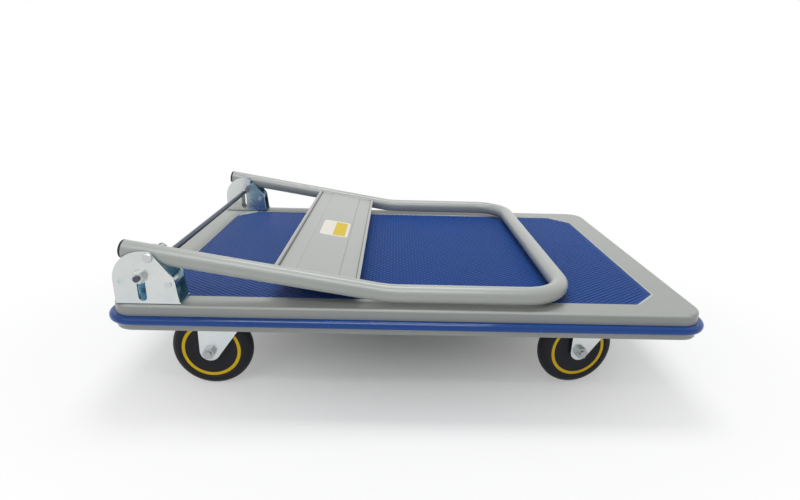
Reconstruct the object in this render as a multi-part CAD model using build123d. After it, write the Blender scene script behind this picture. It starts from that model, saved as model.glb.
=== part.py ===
from build123d import *

import os
from math import atan2, ceil, cos, hypot, pi, radians, sin, sqrt, tan

# Folding platform cart. Millimetres, +Z up, +X away from the hinge end.
# The origin lies on the floor under the middle of the deck.
# The right side is at -Y, as seen by someone who stands at the hinge end and pushes.

# Deck
DECK_LENGTH = 878.0
DECK_WIDTH = 584.0
DECK_SHEET = 2.0
DECK_CORNER = 34.0
DECK_TOP_INSET = 1.0
DECK_EDGE_ROUND = 3.5
SKIRT_DEPTH = 38.5
RETURN_LIP = 10.0
RECESS_DEPTH = 4.0
RECESS_CORNER_ROUND = 6.0
RECESS_BEVEL = 3.0
END_BORDER = 56.0
SIDE_BORDER = 48.5
MAT_CORNER_CUT = 40.0
MAT_THICKNESS = 2.5
MAT_SIDE_GAP = 0.5
BUMPER_THICKNESS = 9.0
BUMPER_HEIGHT = 12.5
BUMPER_DROP = 16.0
BUMPER_ROUND = 5.5
RIB_COUNT = 3
RIB_SPACING = 140.0
RIB_END_GAP = 5.0
RIB_HEIGHT = 18.0
RIB_CROWN = 20.0
RIB_FLANGE = 12.0
RIB_SLANT = 5.0
RIB_SHEET = 2.0

# Wheels
WHEEL_DIAMETER = 125.0
WHEEL_WIDTH = 28.0
TYRE_SIDE_RUN = 3.0
TYRE_ROUND_SHARE = 0.95
TYRE_SIDE_STEP = 1.5
RIM_DIAMETER = 91.0
RIM_BAND = 5.0
RIM_WEB = 10.0
RIM_RIB_COUNT = 6
RIM_RIB_THICKNESS = 4.0
HUB_DIAMETER = 30.0
HUB_FACE_GAP = 1.0
COVER_THICKNESS = 1.6
COVER_DISH = 1.2
BUSH_DIAMETER = 14.0
AXLE_DIAMETER = 10.0
AXLE_TIP = 2.5

# Casters
FORK_SHEET = 3.0
FORK_SIDE_GAP = 2.0
FORK_BEND = 4.0
LEG_END_RADIUS = 15.5
LEG_SHOULDER_HEIGHT = 59.5
LEG_BACK = 15.0
LEG_FRONT = 62.0
CROWN_CLEARANCE = 5.0
CROWN_THICKNESS = 4.0
CROWN_DIAMETER = 66.0
RACE_HEIGHT = 14.0
RACE_DIAMETER = 64.0
RACE_ROUND = 4.0
RACE_SKIRT_STEP = 4.0
RACE_GAP = 0.3
PLATE_LENGTH = 105.0
PLATE_WIDTH = 85.0
PLATE_THICKNESS = 4.0
PLATE_CORNER = 8.0
STUD_PITCH_X = 80.0
STUD_PITCH_Y = 60.0
STUD_DIAMETER = 8.0
STUD_COLLAR = 15.0
STUD_TIP = 2.0
KINGPIN_DIAMETER = 12.0
KINGPIN_TIP = 1.5
CASTER_TRAIL = 37.0
CASTER_REST_TURN = 11.0
RIGID_PLATE_LEAD = 25.0
REAR_AXLE_INSET = 134.0
REAR_WHEEL_SIDE_INSET = 68.5
FRONT_PIVOT_INSET = 129.5
FRONT_PIVOT_SIDE_INSET = 97.0

# Hinge brackets
BRACKET_END_INSET = 23.0
BRACKET_SIDE_INSET = 13.5
CHEEK_SHEET = 2.5
BASE_SHEET = 3.0
CHEEK_LENGTH = 90.0
CHEEK_ARC_RADIUS = 45.0
CHEEK_ARC_HEIGHT = 34.0
CHEEK_ARC_SWEEP = 105.0
CHEEK_SHOULDER_INSET = 4.0
CHEEK_SHOULDER_HEIGHT = 38.0
CHEEK_SHOULDER_ROUND = 8.0
BASE_TONGUE = 1.5
PIVOT_ALONG = 53.5
PIVOT_HEIGHT = 70.0
PIVOT_DIAMETER = 9.0
PIVOT_HEAD_DIAMETER = 13.0
PIVOT_HEAD_HEIGHT = 3.0
PIVOT_INNER_REACH = 14.0
STOP_HEIGHT = 30.2
STOP_SLEEVE_DIAMETER = 12.0
STOP_RIVET_DIAMETER = 6.0
STOP_HEAD_DIAMETER = 9.5
STOP_HEAD_HEIGHT = 1.5
DIMPLE_ALONG = 12.5
DIMPLE_HEIGHT = 34.0
DIMPLE_DIAMETER = 9.0
DIMPLE_DEPTH = 0.8
BRACKET_BOLT_ALONG = (20.0, 65.0)
BRACKET_BOLT_DIAMETER = 8.0

# Lock rod and its springs
ROD_DIAMETER = 9.0
ROD_ALONG = 39.0
ROD_HEIGHT = 42.4
ROD_TRAVEL = 32.0
ROD_SLOT_GAP = 1.5
ROD_END_GAP = 0.6
ROD_TIP = 3.0
ROD_WASHER_DIAMETER = 20.0
ROD_WASHER_THICKNESS = 1.6
SPRING_WIRE = 1.4
SPRING_RADIUS = 4.0
SPRING_TURNS = 7
SPRING_END_BEND = 1.6
SPRING_END_STRAIGHT = 1.6
SPRING_SIDE_GAP = 3.0

# Handle
TUBE_DIAMETER = 27.0
TUBE_WALL = 1.5
TUBE_SIDE_GAP = 1.5
TAIL_LENGTH = 44.5
HANDLE_SLOPE = 9.2
HANDLE_SWING = 104.0
HANDLE_BEND_RADIUS = 200.0
HANDLE_CORNER_RADIUS = 65.0
HANDLE_REACH = 596.0
HANDLE_REST_GAP = 3.0
PLUG_FLANGE = 4.5
PLUG_ROUND = 4.0
PLUG_DEPTH = 14.0
PANEL_START = 166.0
PANEL_WIDTH = 125.0
PANEL_SHEET = 1.5
PANEL_LEVEL = 5.0
PANEL_LIP_WIDTH = 5.0
PANEL_LIP_RISE = 3.0
PANEL_LIP_DROP = 12.0
PANEL_STEP_INSET = 30.0
PANEL_STEP_RISE = 1.5
PANEL_END_DROP = 20.0

# Fits
RUNNING_GAP = 0.08
SEAT_GAP = 0.05
FACE_GAP = 0.3
HOLE_GAP = 0.25

# Hexagon sizes of a nut or head, as shares of its thread diameter
HEX_ACROSS = 1.65
NUT_HEIGHT = 0.8
HEAD_HEIGHT = 0.65

# Levels and places worked out from the sizes above
WHEEL_RADIUS = WHEEL_DIAMETER / 2
AXLE_Z = WHEEL_RADIUS
CROWN_Z = WHEEL_DIAMETER + CROWN_CLEARANCE
RACE_Z = CROWN_Z + CROWN_THICKNESS
PLATE_Z = RACE_Z + RACE_HEIGHT
PANEL_UNDER_Z = PLATE_Z + PLATE_THICKNESS
RECESS_Z = PANEL_UNDER_Z + DECK_SHEET
DECK_Z = RECESS_Z + RECESS_DEPTH
BORDER_UNDER_Z = DECK_Z - DECK_SHEET
SKIRT_Z = DECK_Z - SKIRT_DEPTH
MAT_LENGTH = DECK_LENGTH - 2 * END_BORDER
MAT_WIDTH = DECK_WIDTH - 2 * SIDE_BORDER
RIB_LENGTH = MAT_WIDTH - 2 * RIB_END_GAP
STEEL_LENGTH = DECK_LENGTH - 2 * BUMPER_THICKNESS
STEEL_WIDTH = DECK_WIDTH - 2 * BUMPER_THICKNESS
FORK_HALF_GAP = WHEEL_WIDTH / 2 + FORK_SIDE_GAP
FORK_HALF_WIDTH = FORK_HALF_GAP + FORK_SHEET
REAR_AXLE_X = REAR_AXLE_INSET - DECK_LENGTH / 2
REAR_WHEEL_Y = DECK_WIDTH / 2 - REAR_WHEEL_SIDE_INSET
FRONT_PIVOT_X = DECK_LENGTH / 2 - FRONT_PIVOT_INSET
FRONT_PIVOT_Y = DECK_WIDTH / 2 - FRONT_PIVOT_SIDE_INSET
BRACKET_X = BRACKET_END_INSET - DECK_LENGTH / 2
BRACKET_WIDTH = TUBE_DIAMETER + 2 * TUBE_SIDE_GAP + 2 * CHEEK_SHEET
BRACKET_Y = DECK_WIDTH / 2 - BRACKET_SIDE_INSET - BRACKET_WIDTH / 2
PIVOT_X = BRACKET_X + PIVOT_ALONG
PIVOT_Z = DECK_Z + PIVOT_HEIGHT
ROD_X = BRACKET_X + ROD_ALONG
ROD_Z = DECK_Z + ROD_HEIGHT
TUBE_RADIUS = TUBE_DIAMETER / 2
LEAN = radians(HANDLE_SWING - 90 - HANDLE_SLOPE)
STOP_REACH = TUBE_RADIUS + STOP_SLEEVE_DIAMETER / 2 + FACE_GAP
STOP_ALONG = PIVOT_ALONG + (STOP_REACH + (PIVOT_HEIGHT - STOP_HEIGHT) * sin(LEAN)) / cos(LEAN)
SIDES = {"right": -1, "left": 1}

nodes = {}


def along_y(radius, start, end, x, z):
    """A round bar parallel to Y between two Y values."""
    place = Plane(origin=(x, start, z), x_dir=(1, 0, 0), z_dir=(0, 1, 0))
    return place * Cylinder(radius, end - start, align=(Align.CENTER, Align.CENTER, Align.MIN))


def upright(radius, bottom, top, x, y):
    """A round bar parallel to Z between two heights."""
    return Pos(x, y, bottom) * Cylinder(radius, top - bottom, align=(Align.CENTER, Align.CENTER, Align.MIN))


def hexagon(diameter, height):
    """A hexagon prism for a thread of this diameter, standing on the XY plane."""
    return extrude(RegularPolygon(HEX_ACROSS * diameter / 2, 6, major_radius=False), height)


def nut(diameter):
    """A plain nut that stands on the XY plane."""
    height = NUT_HEIGHT * diameter
    return hexagon(diameter, height) - Cylinder(diameter / 2 + SEAT_GAP, 3 * height)


def facing_y(side, x, y, z):
    """A plane at a point whose normal points outwards on the given side."""
    return Plane(origin=(x, y, z), x_dir=(1, 0, 0), z_dir=(0, side, 0))


def mat_outline(grow):
    """The mat's rectangle with its corners cut off, grown on all sides."""
    sheet = Rectangle(MAT_LENGTH + 2 * grow, MAT_WIDTH + 2 * grow)
    sheet = chamfer(sheet.vertices(), MAT_CORNER_CUT)
    return fillet(sheet.vertices(), RECESS_CORNER_ROUND)


def inside_recess(x, y):
    """True where the recessed middle of the deck covers a point."""
    half_x = MAT_LENGTH / 2
    half_y = MAT_WIDTH / 2
    corner = half_x + half_y - MAT_CORNER_CUT
    return abs(x) < half_x and abs(y) < half_y and abs(x) + abs(y) < corner


# Deck

def tray(inset, top, bottom):
    """The deck's outer form: an upright skirt, a sloping upper edge and a round top edge."""
    length = STEEL_LENGTH - 2 * inset
    width = STEEL_WIDTH - 2 * inset
    corner = DECK_CORNER - inset
    outline = RectangleRounded(length, width, corner)
    upper = RectangleRounded(length - 2 * DECK_TOP_INSET, width - 2 * DECK_TOP_INSET, corner - DECK_TOP_INSET)
    knee = DECK_Z - BUMPER_DROP
    block = Pos(0, 0, bottom) * extrude(outline, knee - bottom)
    block += loft([Pos(0, 0, knee) * outline, Pos(0, 0, top) * upper], ruled=True)
    return fillet(block.faces().sort_by(Axis.Z)[-1].edges(), DECK_EDGE_ROUND - inset)


def deck_pan():
    """The pressed steel deck: border, skirt with a turned-in lip, and the recess for the mat."""
    pan = tray(0, DECK_Z, SKIRT_Z) - tray(DECK_SHEET, BORDER_UNDER_Z, SKIRT_Z)
    lip = RectangleRounded(STEEL_LENGTH, STEEL_WIDTH, DECK_CORNER)
    lip_inset = DECK_SHEET + RETURN_LIP
    lip -= RectangleRounded(
        STEEL_LENGTH - 2 * lip_inset, STEEL_WIDTH - 2 * lip_inset, DECK_CORNER - lip_inset
    )
    pan += Pos(0, 0, SKIRT_Z) * extrude(lip, DECK_SHEET)
    pan += Pos(0, 0, PANEL_UNDER_Z) * extrude(mat_outline(DECK_SHEET), DECK_Z - PANEL_UNDER_Z)
    pan -= Pos(0, 0, RECESS_Z) * extrude(mat_outline(0), 2 * RECESS_DEPTH)
    mat_top = RECESS_Z + MAT_THICKNESS
    pan -= loft([Pos(0, 0, mat_top) * mat_outline(0), Pos(0, 0, DECK_Z) * mat_outline(RECESS_BEVEL)], ruled=True)
    for side in SIDES.values():
        for along in BRACKET_BOLT_ALONG:
            hole = BRACKET_BOLT_DIAMETER / 2 + HOLE_GAP
            pan -= upright(hole, PANEL_UNDER_Z, DECK_Z + DECK_SHEET, BRACKET_X + along, side * BRACKET_Y)
    return pan


def deck_mat():
    """The ribbed mat that lies in the recess."""
    return Pos(0, 0, RECESS_Z) * extrude(mat_outline(-MAT_SIDE_GAP), MAT_THICKNESS)


def edge_bumper():
    """The half-round strip on the skirt."""
    outer = RectangleRounded(DECK_LENGTH, DECK_WIDTH, DECK_CORNER + BUMPER_THICKNESS)
    strip = extrude(outer, BUMPER_HEIGHT)
    strip = fillet(strip.faces().filter_by(Axis.Z).edges(), BUMPER_ROUND)
    core = RectangleRounded(STEEL_LENGTH + 2 * SEAT_GAP, STEEL_WIDTH + 2 * SEAT_GAP, DECK_CORNER + SEAT_GAP)
    strip -= Pos(0, 0, -BUMPER_HEIGHT) * extrude(core, 3 * BUMPER_HEIGHT)
    return Pos(0, 0, DECK_Z - BUMPER_DROP - BUMPER_HEIGHT) * strip


def deck_ribs():
    """Hat sections welded across the underside of the recessed panel."""
    half_crown = RIB_CROWN / 2
    foot = half_crown + RIB_SLANT
    depth = RIB_HEIGHT - RIB_SHEET / 2
    top = -RIB_SHEET / 2
    path = Polyline(
        (-foot - RIB_FLANGE, top),
        (-foot, top),
        (-half_crown, -depth),
        (half_crown, -depth),
        (foot, top),
        (foot + RIB_FLANGE, top),
    )
    section = trace(path, line_width=RIB_SHEET)
    group = []
    for index in range(RIB_COUNT):
        x = (index - (RIB_COUNT - 1) / 2) * RIB_SPACING
        place = Plane(origin=(x, RIB_LENGTH / 2, PANEL_UNDER_Z), x_dir=(1, 0, 0), z_dir=(0, -1, 0))
        group.append(extrude(place * section, RIB_LENGTH))
    return group


# Hinge brackets

def cheek_outline():
    """The side view of a bracket cheek, from its lower corner at the hinge end."""
    turn = radians(180 - CHEEK_ARC_SWEEP)
    arc_end = (
        CHEEK_ARC_RADIUS * (1 + cos(turn)),
        CHEEK_ARC_HEIGHT + CHEEK_ARC_RADIUS * sin(turn),
    )
    shoulder = (CHEEK_LENGTH - CHEEK_SHOULDER_INSET, CHEEK_SHOULDER_HEIGHT)
    with BuildSketch() as sketch:
        with BuildLine():
            Line((0, 0), (0, CHEEK_ARC_HEIGHT))
            CenterArc((CHEEK_ARC_RADIUS, CHEEK_ARC_HEIGHT), CHEEK_ARC_RADIUS, 180, -CHEEK_ARC_SWEEP)
            Polyline(arc_end, shoulder, (CHEEK_LENGTH, 0), (0, 0))
        make_face()
        corner = sketch.vertices().sort_by_distance(shoulder + (0,))[0]
        fillet(corner, CHEEK_SHOULDER_ROUND)
    return sketch.sketch


def rod_slot():
    """The upright slot that guides the lock rod, in the cheek's side view."""
    width = ROD_DIAMETER + 2 * ROD_SLOT_GAP
    length = ROD_TRAVEL + ROD_DIAMETER + 2 * ROD_END_GAP
    middle = ROD_HEIGHT - ROD_TRAVEL / 2
    return Pos(ROD_ALONG, middle) * RectangleRounded(width, length, width / 2 - SEAT_GAP)


def hinge_bracket(side):
    """A plated U bracket: two cheeks on one base, with the slot and the pin holes."""
    view = Plane(origin=(BRACKET_X, 0, DECK_Z), x_dir=(1, 0, 0), z_dir=(0, -1, 0))
    outline = cheek_outline() - rod_slot()
    outline -= Pos(PIVOT_ALONG, PIVOT_HEIGHT) * Circle(PIVOT_DIAMETER / 2 + SEAT_GAP)
    outline -= Pos(STOP_ALONG, STOP_HEIGHT) * Circle(STOP_RIVET_DIAMETER / 2 + SEAT_GAP)
    cheek = extrude(view * outline, CHEEK_SHEET)
    half_gap = BRACKET_WIDTH / 2 - CHEEK_SHEET
    bracket = Pos(0, -half_gap, 0) * cheek + Pos(0, half_gap + CHEEK_SHEET, 0) * cheek
    base = Rectangle(CHEEK_LENGTH + BASE_TONGUE, BRACKET_WIDTH, align=(Align.MIN, Align.CENTER))
    for along in BRACKET_BOLT_ALONG:
        base -= Pos(along, 0) * Circle(BRACKET_BOLT_DIAMETER / 2 + HOLE_GAP)
    bracket += Pos(BRACKET_X, 0, DECK_Z) * extrude(base, BASE_SHEET)
    face = side * BRACKET_WIDTH / 2
    dimple = along_y(
        DIMPLE_DIAMETER / 2, -DIMPLE_DEPTH, DIMPLE_DEPTH, BRACKET_X + DIMPLE_ALONG, DECK_Z + DIMPLE_HEIGHT
    )
    bracket -= Pos(0, face, 0) * dimple
    return Pos(0, side * BRACKET_Y, 0) * bracket


def bracket_bolts():
    """Bolts that hold the brackets, with their heads between the cheeks."""
    head_z = DECK_Z + BASE_SHEET
    tip_z = BORDER_UNDER_Z - NUT_HEIGHT * BRACKET_BOLT_DIAMETER - STUD_TIP
    bolts = []
    for side in SIDES.values():
        for along in BRACKET_BOLT_ALONG:
            x = BRACKET_X + along
            y = side * BRACKET_Y
            head = Pos(x, y, head_z) * hexagon(BRACKET_BOLT_DIAMETER, HEAD_HEIGHT * BRACKET_BOLT_DIAMETER)
            bolts.append(head + upright(BRACKET_BOLT_DIAMETER / 2, tip_z, head_z + SEAT_GAP, x, y))
    return bolts


def bracket_nuts():
    """Nuts of the bracket bolts, under the deck border."""
    z = BORDER_UNDER_Z - NUT_HEIGHT * BRACKET_BOLT_DIAMETER
    group = []
    for side in SIDES.values():
        for along in BRACKET_BOLT_ALONG:
            group.append(Pos(BRACKET_X + along, side * BRACKET_Y, z) * nut(BRACKET_BOLT_DIAMETER))
    return group


def hinge_pivot(side):
    """The pin that the handle turns on. Its inner end carries the spring."""
    outer = BRACKET_Y + BRACKET_WIDTH / 2
    inner = BRACKET_Y - BRACKET_WIDTH / 2 - PIVOT_INNER_REACH
    pin = along_y(PIVOT_DIAMETER / 2, inner, outer + SEAT_GAP, PIVOT_X, PIVOT_Z)
    head = along_y(PIVOT_HEAD_DIAMETER / 2, outer, outer + PIVOT_HEAD_HEIGHT, PIVOT_X, PIVOT_Z)
    head = fillet(head.edges().group_by(Axis.Y)[-1], PIVOT_HEAD_HEIGHT / 2)
    collar = along_y(
        PIVOT_HEAD_DIAMETER / 2, inner, inner + PIVOT_HEAD_HEIGHT, PIVOT_X, PIVOT_Z
    )
    pin += head + collar
    return pin if side > 0 else mirror(pin, Plane.XZ)


def stop_pin(side):
    """The sleeve between the cheeks that stops the raised handle, on its rivet."""
    x = BRACKET_X + STOP_ALONG
    z = DECK_Z + STOP_HEIGHT
    half = BRACKET_WIDTH / 2
    inside = half - CHEEK_SHEET
    pin = along_y(STOP_RIVET_DIAMETER / 2, -half - SEAT_GAP, half + SEAT_GAP, x, z)
    pin += along_y(STOP_SLEEVE_DIAMETER / 2, -inside, inside, x, z)
    for start, end in ((half, half + STOP_HEAD_HEIGHT), (-half - STOP_HEAD_HEIGHT, -half)):
        pin += along_y(STOP_HEAD_DIAMETER / 2, start, end, x, z)
    return Pos(0, side * BRACKET_Y, 0) * pin


# Lock rod and its springs

def lock_rod():
    """The foot rod across the cart, through the slots of both brackets."""
    half = DECK_WIDTH / 2 - BRACKET_SIDE_INSET + FACE_GAP + ROD_WASHER_THICKNESS
    half += NUT_HEIGHT * ROD_DIAMETER + ROD_TIP
    return along_y(ROD_DIAMETER / 2, -half, half, ROD_X, ROD_Z)


def rod_fittings(kind):
    """The washers or the nuts at both ends of the lock rod."""
    start = DECK_WIDTH / 2 - BRACKET_SIDE_INSET + FACE_GAP
    group = []
    for side in SIDES.values():
        if kind == "washer":
            disc = extrude(
                Circle(ROD_WASHER_DIAMETER / 2) - Circle(ROD_DIAMETER / 2 + SEAT_GAP), ROD_WASHER_THICKNESS
            )
            group.append(facing_y(side, ROD_X, side * start, ROD_Z) * disc)
        else:
            y = side * (start + ROD_WASHER_THICKNESS)
            group.append(facing_y(side, ROD_X, y, ROD_Z) * nut(ROD_DIAMETER))
    return group


def biarc(start, start_dir, end, end_dir):
    """Two arcs that join two points with the given directions."""
    span = end - start
    both = start_dir + end_dir
    slack = 2 * (1 - start_dir.dot(end_dir))
    reach = span.dot(both)
    size = (-reach + sqrt(reach**2 + slack * span.dot(span))) / slack
    knee_a = start + start_dir * size
    knee_b = end - end_dir * size
    middle = (knee_a + knee_b) * 0.5
    return [
        TangentArc(start, middle, tangent=start_dir),
        TangentArc(middle, end, tangent=(knee_b - knee_a).normalized()),
    ]


def spring_frame(side):
    """The spring's axis line from the pivot to the lock rod, and the two directions across it."""
    y = side * (BRACKET_Y - BRACKET_WIDTH / 2 - SPRING_SIDE_GAP - SPRING_RADIUS - SPRING_WIRE / 2)
    top = Vector(PIVOT_X, y, PIVOT_Z)
    axis = (Vector(ROD_X, y, ROD_Z) - top).normalized()
    across = Vector(0, side, 0)
    return top, axis, across, axis.cross(across)


def spring_ends():
    """Distances from the pivot along the spring's axis to the two wire ends."""
    span = hypot(ROD_X - PIVOT_X, ROD_Z - PIVOT_Z)
    return PIVOT_DIAMETER / 2 + FACE_GAP, span - ROD_DIAMETER / 2 - FACE_GAP


def lock_spring(side):
    """A tension spring between the pivot and the lock rod, as one swept wire."""
    top, axis, across, third = spring_frame(side)
    first, last = spring_ends()
    end_turn = atan2(SPRING_END_BEND, SPRING_RADIUS)
    sweep_angle = 2 * pi * SPRING_TURNS - 2 * end_turn
    lead_in = SPRING_END_STRAIGHT + SPRING_END_BEND
    climb = (last - first - 2 * lead_in) / sweep_angle

    def point(turn):
        round_part = across * (SPRING_RADIUS * cos(turn)) + third * (SPRING_RADIUS * sin(turn))
        return top + axis * (first + lead_in + climb * (turn - end_turn)) + round_part

    def heading(turn):
        round_part = third * (SPRING_RADIUS * cos(turn)) - across * (SPRING_RADIUS * sin(turn))
        return (round_part + axis * climb).normalized()

    def end_bend(corner, direction, outward):
        """The bend from the last curl to the straight wire end."""
        tilt = radians(direction.get_angle(outward))
        inward = (outward - direction * outward.dot(direction)).normalized()
        shift = inward * (1 - cos(tilt)) + direction * sin(tilt)
        return corner + shift * SPRING_END_BEND

    start_turn = end_turn
    stop_turn = end_turn + sweep_angle
    start_bend = end_bend(point(start_turn), heading(start_turn) * -1, axis * -1)
    stop_bend = end_bend(point(stop_turn), heading(stop_turn), axis)
    start_tip = start_bend - axis * (start_bend - top).dot(axis) + axis * first
    stop_tip = stop_bend - axis * (stop_bend - top).dot(axis) + axis * last
    edges = [Line(start_tip, start_bend), TangentArc(start_bend, point(start_turn), tangent=axis)]
    steps = ceil(sweep_angle / (pi / 2))
    turns = [start_turn + sweep_angle * index / steps for index in range(steps + 1)]
    for before, after in zip(turns, turns[1:]):
        edges += biarc(point(before), heading(before), point(after), heading(after))
    edges += [TangentArc(point(stop_turn), stop_bend, tangent=heading(stop_turn)), Line(stop_bend, stop_tip)]
    path = Wire(edges)
    wire = sweep(Plane(origin=start_tip, z_dir=axis) * Circle(SPRING_WIRE / 2), path=path)
    return wire, climb


def spring_gap(climb):
    """The least gap between neighbouring curls, measured on points of the helix."""
    steps = 72
    least = None
    for index in range(steps):
        turn = 2 * pi + (index - steps / 2) * pi / steps
        distance = hypot(
            SPRING_RADIUS * (cos(turn) - 1), SPRING_RADIUS * sin(turn), climb * turn
        )
        least = distance if least is None else min(least, distance)
    return least - SPRING_WIRE


# Casters

def leg(top, front):
    """A fork leg in side view: a round end at the axle that widens to the top. X is 0 at the axle."""
    shoulder = AXLE_Z + LEG_SHOULDER_HEIGHT
    end = Pos(0, AXLE_Z) * Circle(LEG_END_RADIUS)
    head = Polyline((-LEG_BACK, shoulder), (front, shoulder), (front, top), (-LEG_BACK, top), close=True)
    outline = make_hull(end.edges() + head.edges())
    return outline - Pos(0, AXLE_Z) * Circle(AXLE_DIAMETER / 2 + HOLE_GAP)


def leg_pair(top, front):
    """Both legs of a fork, with the wheel's middle plane at Y 0."""
    view = Plane(origin=(0, 0, 0), x_dir=(1, 0, 0), z_dir=(0, -1, 0))
    sheet = extrude(view * leg(top, front), FORK_SHEET)
    return Pos(0, -FORK_HALF_GAP, 0) * sheet + Pos(0, FORK_HALF_WIDTH, 0) * sheet


def caster_plate():
    """The rectangle that bolts a caster to the deck, with its four holes, lying at the plate's level."""
    outline = RectangleRounded(PLATE_LENGTH, PLATE_WIDTH, PLATE_CORNER)
    holes = GridLocations(STUD_PITCH_X, STUD_PITCH_Y, 2, 2) * Circle(STUD_DIAMETER / 2 + HOLE_GAP)
    for hole in holes:
        outline -= hole
    return Pos(0, 0, PLATE_Z) * extrude(outline, PLATE_THICKNESS)


def rear_fork(side):
    """The rigid caster's fork: plate and legs pressed from one sheet."""
    fork = leg_pair(PLATE_Z + FORK_SHEET, LEG_FRONT) + Pos(RIGID_PLATE_LEAD, 0, 0) * caster_plate()
    return Pos(REAR_AXLE_X, side * REAR_WHEEL_Y, 0) * fork


def swivel_place(side):
    """Where a swivel fork's own frame lies: its kingpin, turned to the rest angle."""
    return Pos(FRONT_PIVOT_X, side * FRONT_PIVOT_Y, 0) * Rot(0, 0, CASTER_REST_TURN)


def swivel_fork(side):
    """The turning fork: a round crown on the kingpin with two legs that trail behind it."""
    front = LEG_FRONT + FORK_BEND
    fork = Pos(-CASTER_TRAIL, 0, 0) * leg_pair(RACE_Z, front)
    bridge = Rectangle(front + LEG_BACK, 2 * FORK_HALF_WIDTH, align=(Align.MIN, Align.CENTER))
    crown = Pos(-CASTER_TRAIL - LEG_BACK, 0) * bridge + Circle(CROWN_DIAMETER / 2)
    crown -= Circle(KINGPIN_DIAMETER / 2 + RUNNING_GAP)
    fork += Pos(0, 0, CROWN_Z) * extrude(crown, CROWN_THICKNESS)
    return swivel_place(side) * fork


def swivel_plate(side):
    """The top plate of a swivel caster, with the kingpin's hole."""
    plate = caster_plate() - upright(KINGPIN_DIAMETER / 2 + SEAT_GAP, CROWN_Z, DECK_Z, 0, 0)
    return Pos(FRONT_PIVOT_X, side * FRONT_PIVOT_Y, 0) * plate


def swivel_race(side):
    """The ball race housing between the plate and the crown."""
    inner = KINGPIN_DIAMETER / 2 + SEAT_GAP
    outer = RACE_DIAMETER / 2
    bottom = RACE_Z + RACE_GAP
    middle = bottom + (PLATE_Z - bottom) / 2
    section = Polyline(
        (inner, bottom),
        (outer - RACE_SKIRT_STEP, bottom),
        (outer - RACE_SKIRT_STEP, middle),
        (outer, middle),
        (outer, PLATE_Z),
        (inner, PLATE_Z),
        close=True,
    )
    face = Plane.XZ * make_face(section)
    race = revolve(face, Axis.Z)
    rim = race.edges().filter_by(GeomType.CIRCLE).group_by(SortBy.RADIUS)[-1].sort_by(Axis.Z)[0]
    race = fillet(rim, min(RACE_ROUND, (PLATE_Z - middle) / 2))
    return Pos(FRONT_PIVOT_X, side * FRONT_PIVOT_Y, 0) * race


def kingpins():
    """The pins that the swivel forks turn on, flush with their plates."""
    tip = CROWN_Z - FACE_GAP - NUT_HEIGHT * KINGPIN_DIAMETER - KINGPIN_TIP
    radius = KINGPIN_DIAMETER / 2
    return [
        upright(radius, tip, PANEL_UNDER_Z, FRONT_PIVOT_X, side * FRONT_PIVOT_Y) for side in SIDES.values()
    ]


def kingpin_nuts():
    """The nuts under the crowns of the swivel forks."""
    z = CROWN_Z - FACE_GAP - NUT_HEIGHT * KINGPIN_DIAMETER
    return [
        Pos(FRONT_PIVOT_X, side * FRONT_PIVOT_Y, z) * nut(KINGPIN_DIAMETER) for side in SIDES.values()
    ]


def stud_points():
    """The places of all the studs that hold the caster plates."""
    centres = [
        (REAR_AXLE_X + RIGID_PLATE_LEAD, REAR_WHEEL_Y),
        (FRONT_PIVOT_X, FRONT_PIVOT_Y),
    ]
    points = []
    for side in SIDES.values():
        for x, y in centres:
            for step_x in (-1, 1):
                for step_y in (-1, 1):
                    points.append((x + step_x * STUD_PITCH_X / 2, side * y + step_y * STUD_PITCH_Y / 2))
    return points


def caster_studs():
    """Weld studs under the deck. Under the higher border a collar fills the step."""
    tip = PLATE_Z - NUT_HEIGHT * STUD_DIAMETER - STUD_TIP
    studs = []
    for x, y in stud_points():
        if inside_recess(x, y):
            studs.append(upright(STUD_DIAMETER / 2, tip, PANEL_UNDER_Z, x, y))
        else:
            stud = upright(STUD_DIAMETER / 2, tip, BORDER_UNDER_Z, x, y)
            studs.append(stud + upright(STUD_COLLAR / 2, PANEL_UNDER_Z, BORDER_UNDER_Z, x, y))
    return studs


def caster_nuts():
    """The nuts of the weld studs, under the caster plates."""
    z = PLATE_Z - NUT_HEIGHT * STUD_DIAMETER
    return [Pos(x, y, z) * nut(STUD_DIAMETER) for x, y in stud_points()]


# Wheels, made about the origin with the axle along Y

def ring_of(points):
    """A ring about the Y axis from points given as radius and Y."""
    section = make_face(Polyline(*points, close=True))
    return revolve(section, Axis.Y)


def tyre():
    """The rubber tyre with its round shoulders and stepped sides."""
    half = WHEEL_WIDTH / 2
    seat = RIM_DIAMETER / 2 + SEAT_GAP
    inner_half = half - TYRE_SIDE_STEP
    step = seat + TYRE_SIDE_RUN
    with BuildSketch() as section:
        with BuildLine():
            Polyline(
                (seat, -inner_half),
                (step, -half),
                (WHEEL_RADIUS, -half),
                (WHEEL_RADIUS, half),
                (step, half),
                (seat, inner_half),
                close=True,
            )
        make_face()
        tread = section.vertices().group_by(Axis.X)[-1]
        fillet(tread, TYRE_ROUND_SHARE * min(WHEEL_RADIUS - step, half))
    return revolve(section.sketch, Axis.Y)


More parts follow.
